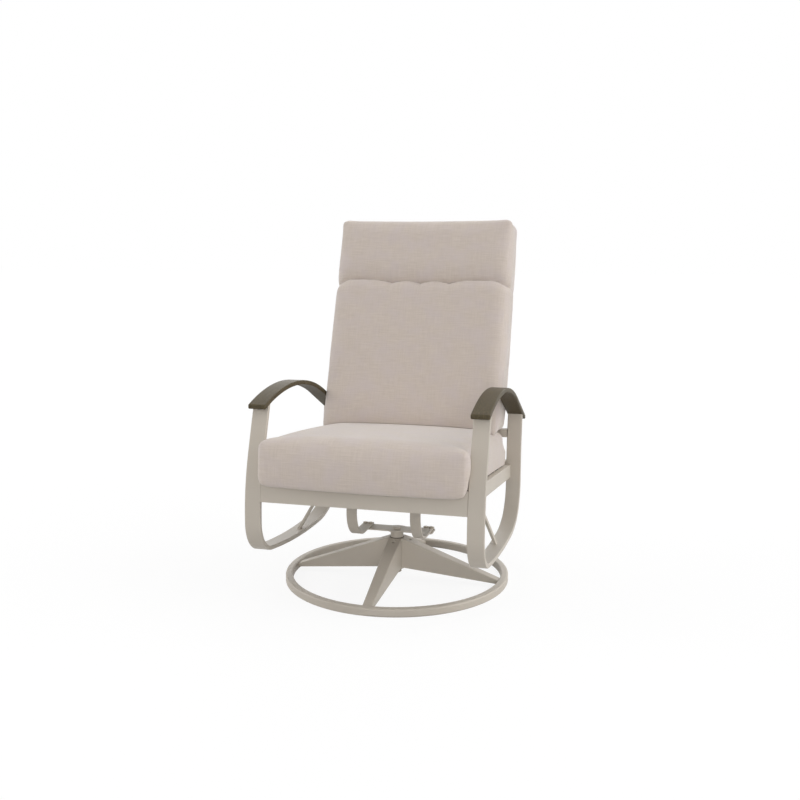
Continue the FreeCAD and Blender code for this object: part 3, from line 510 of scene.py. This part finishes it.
def make_back_cushion(seat):
    core = block(BACK_HALF, BACK_FOOT, BACK_TOP, BACK_THICK, BACK_CORNER_R, BACK_FRONT_R, BACK_REAR_R)
    cushion = padded("back_cushion_cover", core, BACK_WADDING)
    x, y, z = points_of(cushion).T
    share = z / BACK_THICK
    # the foot edge is full, lies on the seat cushion, and the pad is thinner towards the top
    foot = 1 - smooth_step(y, BACK_FOOT - 0.01, BACK_FOOT + 0.060)
    y = y - FOOT_TUCK * foot * smooth_step(share, 0.55, 1.0)
    y = y - FOOT_SLOPE * z * (1 - smooth_step(y, BACK_FOOT, BACK_FOOT + 0.16))
    z = z * (1.0 - BACK_TAPER * (y - BACK_FOOT) / (BACK_TOP - BACK_FOOT))
    # the head's rear edge stands as high as its front one
    y = y + TOP_REAR_RISE * smooth_step(y, BACK_TOP - 0.06, BACK_TOP) * (1 - smooth_step(share, 0.1, 0.8))
    # its top corners are filled out
    near_side = smooth_step(np.abs(x), BACK_HALF - CORNER_REACH, BACK_HALF)
    corner = smooth_step(y, BACK_TOP - CORNER_REACH, BACK_TOP) * near_side
    y = y + (CORNER_RISE + CORNER_REAR_RISE * (1 - smooth_step(share, 0.3, 0.8))) * corner
    x = x + np.sign(x) * CORNER_OUT * corner
    # the head's top edge sags a little between its corners
    y = y - TOP_SAG * dome(x, -0.25, 0.25) * smooth_step(y, BACK_TOP - 0.08, BACK_TOP)
    # the sewn line is pulled in, most at the tufts, and body and head roll down to it
    off = y - seam_height(x)
    front = smooth_step(share, 0.6, 0.95)
    pull = sum(np.exp(-((x - t) / TUFT_HALF) ** 2) for t in TUFTS)
    fold = np.where(off > 0, crease(off, HEAD_ROLL), crease(off, BODY_ROLL))
    z = z - (SEAM_DEPTH + TUFT_DEPTH * pull) * fold * front
    side = smooth_step(np.abs(x), BACK_HALF - 0.035, BACK_HALF + 0.004) * smooth_step(share, 0.05, 0.5)
    x = x - np.sign(x) * SEAM_NIP * crease(off, SEAM_NIP_REACH) * side
    x = x * (1 + BACK_BULGE * dome(y, -0.10, BACK_SEAM)) + BACK_SHIFT
    z = np.maximum(z + STRAP_TOP + FOOT_LIFT, STRAP_TOP)
    set_points(cushion, np.stack([x, y, z], axis=1))
    mark_seam(cushion, np.abs(x) - (BACK_HALF + SEAM_OUT))
    cloth_map(cushion)
    cushion.data.transform(back_plane)
    # between the arms the pad is held in, and its foot is pressed up by the seat cushion
    surface = BVHTree.FromPolygons([v.co for v in seat.data.vertices],
                                   [p.vertices for p in seat.data.polygons])
    for vertex in cushion.data.vertices:
        co = vertex.co
        limit = ARM_INNER - ARM_GAP + ROOM_ABOVE_ARMS * float(smooth_step(co.z, ARM_TOP, ARM_TOP + 0.05))
        co.x = max(-limit, min(limit, co.x))
        if co.z < FOOT_BELOW:
            hit = surface.ray_cast(Vector((co.x, co.y, ABOVE_SEAT)), Vector((0, 0, -1)))
            if hit[0] is not None and co.z < hit[0].z + CLOTH_GAP:
                co.z = hit[0].z + CLOTH_GAP
    return cushion


seat_cushion = make_seat_cushion()
back_cushion = make_back_cushion(seat_cushion)
for cushion, node, fill in ((seat_cushion, "seat_cushion", 0.8), (back_cushion, "back_cushion", 0.75)):
    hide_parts(node)
    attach(cushion, "seat")


# Leaf springs: one flat bar each, bent to a C, which gives between the cross bar and the seat

SPRING_X = 0.093
SPRING_WIDTH = 0.030
SPRING_THICK = 0.006
SPRING_REAR = 0.025
SPRING_FRONT = -0.150
SPRING_BEND_R = 0.0795
SPRING_EDGE_R = 0.0012
SPRING_STRAIGHT_STEPS = 6
SPRING_BEND_STEPS = 40
BAR_TOP = 0.150


def draw_out(bm, face, length, steps):
    """Draws a bar's end face out along Y and returns the new end face."""
    for _ in range(steps):
        made = bmesh.ops.extrude_face_region(bm, geom=[face])["geom"]
        bmesh.ops.delete(bm, geom=[face], context="FACES_ONLY")
        bmesh.ops.translate(bm, vec=(0, length / steps, 0),
                            verts=[g for g in made if isinstance(g, bmesh.types.BMVert)])
        face = [g for g in made if isinstance(g, bmesh.types.BMFace)][0]
    return face


def make_spring(name, x, node):
    bm = bmesh.new()
    half = SPRING_WIDTH / 2
    corners = [bm.verts.new((x + side * half, SPRING_REAR, BAR_TOP + z))
               for side, z in ((-1, 0), (1, 0), (1, SPRING_THICK), (-1, SPRING_THICK))]
    rear_end = bm.faces.new(corners)
    bend_y = SPRING_FRONT + SPRING_BEND_R
    bend_z = BAR_TOP + SPRING_BEND_R
    face = draw_out(bm, rear_end.copy(), bend_y - SPRING_REAR, SPRING_STRAIGHT_STEPS)
    turned = bmesh.ops.spin(bm, geom=list(face.edges) + list(face.verts) + [face], cent=(x, bend_y, bend_z),
                            axis=(1, 0, 0), dvec=(0, 0, 0), angle=-math.pi, steps=SPRING_BEND_STEPS,
                            use_merge=False, use_duplicate=False)
    face = [g for g in turned["geom_last"] if isinstance(g, bmesh.types.BMFace)][0]
    draw_out(bm, face, SPRING_REAR - bend_y, SPRING_STRAIGHT_STEPS)
    bmesh.ops.remove_doubles(bm, verts=bm.verts, dist=SAME_PLACE)
    spring = piece_from(bm, name, taupe_coat)
    rounded = spring.modifiers.new("edges", "BEVEL")
    rounded.width = SPRING_EDGE_R
    rounded.segments = 3
    rounded.limit_method = "ANGLE"
    rounded.angle_limit = math.radians(50)
    apply_modifiers(spring)
    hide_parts(node)
    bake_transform(spring)


make_spring("left_spring_leaf", -SPRING_X, "left_leaf_spring")
make_spring("right_spring_leaf", SPRING_X, "right_leaf_spring")


# Camera, at the photograph's place and angle

PHOTO_PIXELS = 800
FOCAL_PIXELS = 981.82
FILM_WIDTH = 36

eye = Vector((0.7435, -2.7175, 0.9835))
yaw, pitch = math.radians(15.12), math.radians(9.05)
back_way = Vector((math.sin(yaw) * math.cos(pitch), -math.cos(yaw) * math.cos(pitch), math.sin(pitch)))
right_way = Vector((math.cos(yaw), math.sin(yaw), 0))
up_way = back_way.cross(right_way)
lens = bpy.data.cameras.new("camera")
lens.sensor_width = FILM_WIDTH
lens.lens = FOCAL_PIXELS / PHOTO_PIXELS * FILM_WIDTH
camera = bpy.data.objects.new("camera", lens)
camera.matrix_world = Matrix.Translation(eye) @ Matrix((right_way, up_way, back_way)).transposed().to_4x4()
scene.collection.objects.link(camera)
scene.camera = camera


# Light and floor

WHITE = (1, 1, 1, 1)
AMBIENT = 0.24
FLOOR_HALF = 30
# the camera sees the floor's lit surface at 13 % through plain white, so that the shadow shows faintly,
# and the white makes up for that surface being lit a little below 1
FLOOR_WHITE_SHARE = 0.87
FLOOR_WHITE = 1.015


def soft_light(name, round_from_front, above, level, spread):
    """A broad studio light, far off: angles in degrees, and the light it lays on a face turned to it."""
    light = bpy.data.lights.new(name, "SUN")
    light.energy = level * math.pi
    light.angle = math.radians(spread)
    turn, lift = math.radians(round_from_front), math.radians(above)
    way = Vector((math.sin(turn) * math.cos(lift), -math.cos(turn) * math.cos(lift), math.sin(lift)))
    held = bpy.data.objects.new(name, light)
    held.rotation_euler = way.to_track_quat("Z", "Y").to_euler()
    scene.collection.objects.link(held)


soft_light("right_light", 98, 26, 0.60, 60)
soft_light("front_light", 12, 14, 0.28, 30)
soft_light("left_light", -85, 22, 0.38, 40)
soft_light("rear_light", 190, 20, 0.20, 50)
soft_light("top_light", 0, 85, 0.16, 90)


def seen_directly(tree):
    """1 for what the camera sees, also in a gloss or through glass, and 0 for the light on the object."""
    path = add(tree, "ShaderNodeLightPath")
    gloss = add(tree, "ShaderNodeMath", {0: path.outputs["Is Camera Ray"], 1: path.outputs["Is Glossy Ray"]},
                operation="MAXIMUM")
    return add(tree, "ShaderNodeMath", {0: gloss.outputs["Value"], 1: path.outputs["Is Transmission Ray"]},
               operation="MAXIMUM").outputs["Value"]


world = bpy.data.worlds.new("studio")
world.use_nodes = True
tree = world.node_tree
tree.nodes.clear()
backdrop = add(tree, "ShaderNodeBackground", {"Color": WHITE, "Strength": 1.0})
ambient = add(tree, "ShaderNodeBackground", {"Color": WHITE, "Strength": AMBIENT})
both = add(tree, "ShaderNodeMixShader", {0: seen_directly(tree), 1: ambient.outputs[0],
                                         2: backdrop.outputs[0]})
add(tree, "ShaderNodeOutputWorld", {"Surface": both.outputs[0]})
scene.world = world

material, tree = start_material("studio_floor")
floor_paint = add(tree, "ShaderNodeBsdfDiffuse", {"Color": colour("D4D4D4")})
shadowed = add(tree, "ShaderNodeBsdfDiffuse", {"Color": colour("FFFFFF")})
white = add(tree, "ShaderNodeEmission", {"Color": WHITE, "Strength": FLOOR_WHITE})
shown = add(tree, "ShaderNodeMixShader", {0: FLOOR_WHITE_SHARE, 1: shadowed.outputs[0],
                                          2: white.outputs[0]})
mixed = add(tree, "ShaderNodeMixShader", {0: seen_directly(tree), 1: floor_paint.outputs[0],
                                          2: shown.outputs[0]})
add(tree, "ShaderNodeOutputMaterial", {"Surface": mixed.outputs[0]})
bm = bmesh.new()
bmesh.ops.create_grid(bm, x_segments=1, y_segments=1, size=FLOOR_HALF)
floor = piece_from(bm, "floor", material, smooth=False)

scene.view_settings.view_transform = "Standard"
